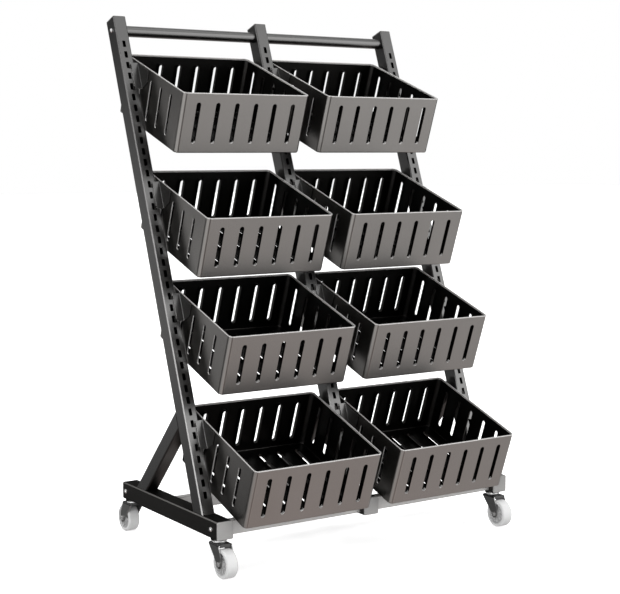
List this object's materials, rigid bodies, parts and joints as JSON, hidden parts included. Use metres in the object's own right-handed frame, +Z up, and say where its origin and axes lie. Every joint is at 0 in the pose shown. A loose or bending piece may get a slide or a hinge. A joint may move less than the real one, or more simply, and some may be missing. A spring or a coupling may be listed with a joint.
{
  "type": "fruit display rack",
  "caption": "Free-standing leaning steel rack for fruit: slotted uprights on castered base tubes carry tiers of slotted sheet-metal baskets that hook on and tilt to the front.",
  "frame": {"origin": "on the floor, under the middle of the rack's box", "axes": "X along the rack from the left bay to the right, Y from the shopper's side to the back, Z up"},
  "size_m": [1.02, 0.7758, 1.5247],
  "materials": {
    "frame_paint": "satin dark bronze-grey powder coat",
    "basket_paint": "satin dark bronze-grey powder coat",
    "cap_plastic": "moulded dark grey",
    "bolt_steel": "bright zinc",
    "race_zinc": "bright zinc",
    "fork_zinc": "dull zinc",
    "wheel_plastic": "pale moulded tread on a grey core"
  },
  "bodies": {
    "frame": {"upright_left": "frame_paint", "upright_middle": "frame_paint", "upright_right": "frame_paint", "upright_caps": "cap_plastic", "base_tube_left": "frame_paint", "base_tube_middle": "frame_paint", "base_tube_right": "frame_paint", "base_caps": "cap_plastic", "brace_left": "frame_paint", "brace_middle": "frame_paint", "brace_right": "frame_paint", "top_tube_left": "frame_paint", "top_tube_right": "frame_paint", "front_beam_left": "frame_paint", "front_beam_right": "frame_paint", "rear_beam_left": "frame_paint", "rear_beam_right": "frame_paint", "top_tube_bolts": "bolt_steel", "front_beam_bolts": "bolt_steel", "rear_base_bolts": "bolt_steel", "caster_nuts": "bolt_steel", "caster_stems": "race_zinc"},
    "basket_left_1": {"basket_left_1": "basket_paint", "hooks_left_1": "basket_paint"},
    "basket_left_2": {"basket_left_2": "basket_paint", "hooks_left_2": "basket_paint"},
    "basket_left_3": {"basket_left_3": "basket_paint", "hooks_left_3": "basket_paint"},
    "basket_left_4": {"basket_left_4": "basket_paint", "hooks_left_4": "basket_paint"},
    "basket_right_1": {"basket_right_1": "basket_paint", "hooks_right_1": "basket_paint"},
    "basket_right_2": {"basket_right_2": "basket_paint", "hooks_right_2": "basket_paint"},
    "basket_right_3": {"basket_right_3": "basket_paint", "hooks_right_3": "basket_paint"},
    "basket_right_4": {"basket_right_4": "basket_paint", "hooks_right_4": "basket_paint"},
    "swivel_front_left": {"caster_fork_front_left": "fork_zinc"},
    "wheel_front_left": {"caster_wheel_front_left": "wheel_plastic"},
    "swivel_rear_left": {"caster_fork_rear_left": "fork_zinc"},
    "wheel_rear_left": {"caster_wheel_rear_left": "wheel_plastic"},
    "swivel_front_right": {"caster_fork_front_right": "fork_zinc"},
    "wheel_front_right": {"caster_wheel_front_right": "wheel_plastic"},
    "swivel_rear_right": {"caster_fork_rear_right": "fork_zinc"},
    "wheel_rear_right": {"caster_wheel_rear_right": "wheel_plastic"}
  },
  "joints": [
    {"name": "lift_left_1", "type": "slide", "parent": "frame", "child": "basket_left_1", "axis": [0, 0.3469, 0.9379], "range_m": [0, 0.009]},
    {"name": "lift_left_2", "type": "slide", "parent": "frame", "child": "basket_left_2", "axis": [0, 0.3469, 0.9379], "range_m": [0, 0.009]},
    {"name": "lift_left_3", "type": "slide", "parent": "frame", "child": "basket_left_3", "axis": [0, 0.3469, 0.9379], "range_m": [0, 0.009]},
    {"name": "lift_left_4", "type": "slide", "parent": "frame", "child": "basket_left_4", "axis": [0, 0.3469, 0.9379], "range_m": [0, 0.009]},
    {"name": "lift_right_1", "type": "slide", "parent": "frame", "child": "basket_right_1", "axis": [0, 0.3469, 0.9379], "range_m": [0, 0.009]},
    {"name": "lift_right_2", "type": "slide", "parent": "frame", "child": "basket_right_2", "axis": [0, 0.3469, 0.9379], "range_m": [0, 0.009]},
    {"name": "lift_right_3", "type": "slide", "parent": "frame", "child": "basket_right_3", "axis": [0, 0.3469, 0.9379], "range_m": [0, 0.009]},
    {"name": "lift_right_4", "type": "slide", "parent": "frame", "child": "basket_right_4", "axis": [0, 0.3469, 0.9379], "range_m": [0, 0.009]},
    {"name": "swivel_front_left", "type": "hinge", "parent": "frame", "child": "swivel_front_left", "pos_m": [-0.48, -0.25451, 0.092], "axis": [0, 0, 1], "continuous": true},
    {"name": "roll_front_left", "type": "hinge", "parent": "swivel_front_left", "child": "wheel_front_left", "pos_m": [-0.48, -0.28851, 0.04], "axis": [1, 0, 0], "continuous": true},
    {"name": "swivel_rear_left", "type": "hinge", "parent": "frame", "child": "swivel_rear_left", "pos_m": [-0.48, 0.25549, 0.092], "axis": [0, 0, 1], "continuous": true},
    {"name": "roll_rear_left", "type": "hinge", "parent": "swivel_rear_left", "child": "wheel_rear_left", "pos_m": [-0.48, 0.28949, 0.04], "axis": [1, 0, 0], "continuous": true},
    {"name": "swivel_front_right", "type": "hinge", "parent": "frame", "child": "swivel_front_right", "pos_m": [0.48, -0.25451, 0.092], "axis": [0, 0, 1], "continuous": true},
    {"name": "roll_front_right", "type": "hinge", "parent": "swivel_front_right", "child": "wheel_front_right", "pos_m": [0.48, -0.28851, 0.04], "axis": [1, 0, 0], "continuous": true},
    {"name": "swivel_rear_right", "type": "hinge", "parent": "frame", "child": "swivel_rear_right", "pos_m": [0.48, 0.25549, 0.092], "axis": [0, 0, 1], "continuous": true},
    {"name": "roll_rear_right", "type": "hinge", "parent": "swivel_rear_right", "child": "wheel_rear_right", "pos_m": [0.48, 0.28949, 0.04], "axis": [1, 0, 0], "continuous": true}
  ]
}
